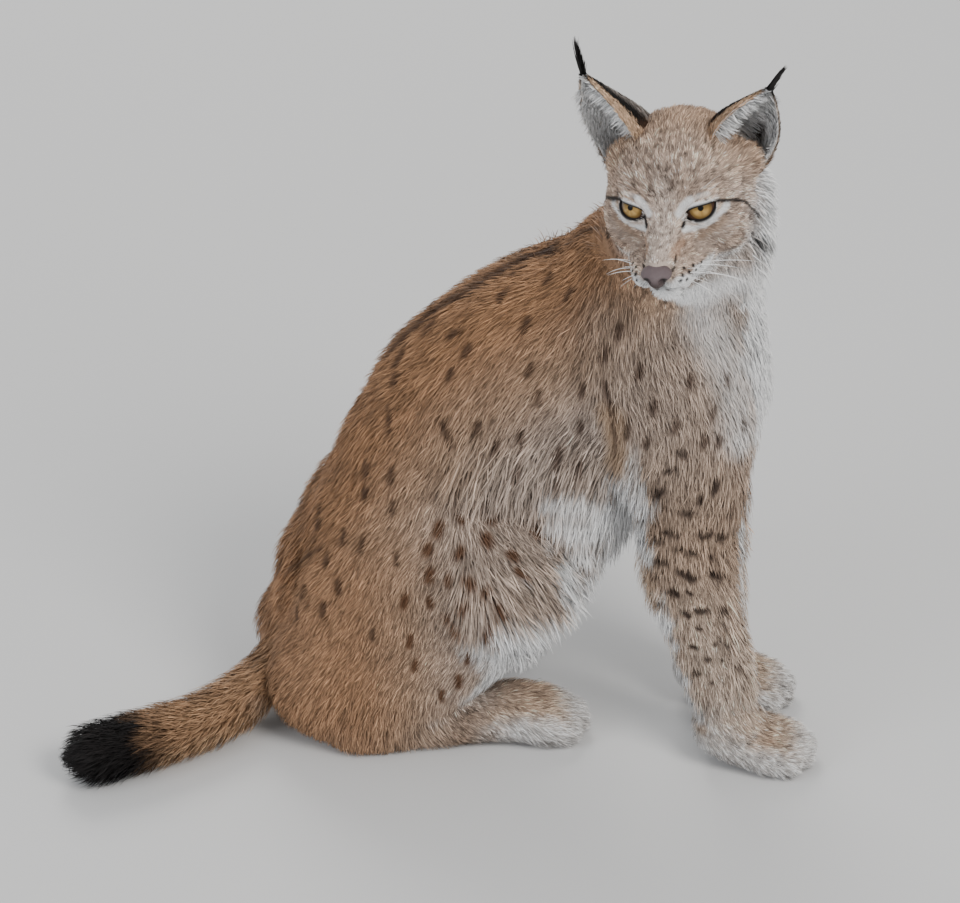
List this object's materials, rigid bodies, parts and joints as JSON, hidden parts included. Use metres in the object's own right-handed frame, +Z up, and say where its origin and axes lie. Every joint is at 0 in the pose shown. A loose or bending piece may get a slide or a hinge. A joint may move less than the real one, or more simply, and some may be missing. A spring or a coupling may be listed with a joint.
{
  "type": "sitting lynx model",
  "caption": "Life-size still model of a Eurasian lynx, sitting upright with its head turned over its right shoulder.",
  "frame": {"origin": "on the floor, under the middle of the whole animal's bounding box", "axes": "+X the way the body faces, +Y the animal's left, +Z up"},
  "size_m": [0.7408, 0.39, 0.7741],
  "materials": {
    "coat": "dense tawny fur",
    "leg_coat": "short sandy fur",
    "pale_coat": "pale buff to white fur",
    "dark_coat": "black fur",
    "nose_skin": "bare skin, slightly moist",
    "eye": "polished, opaque"
  },
  "bodies": {
    "root": {"hindquarters": "coat", "loin": "coat", "chest": "coat", "neck": "coat", "tail": "coat", "tail_tip": "dark_coat", "shoulder_right": "coat", "forearm_right": "leg_coat", "front_paw_right": "pale_coat", "thigh_right": "coat", "lower_leg_right": "pale_coat", "hind_foot_right": "leg_coat", "hind_paw_right": "pale_coat", "shoulder_left": "coat", "forearm_left": "leg_coat", "front_paw_left": "pale_coat", "thigh_left": "coat", "lower_leg_left": "pale_coat", "hind_foot_left": "leg_coat", "hind_paw_left": "pale_coat", "head": "coat", "face": "leg_coat", "lower_jaw": "pale_coat", "nose": "nose_skin", "eye_left": "eye", "ear_left": "dark_coat", "eye_right": "eye", "ear_right": "dark_coat"}
  },
  "joints": []
}
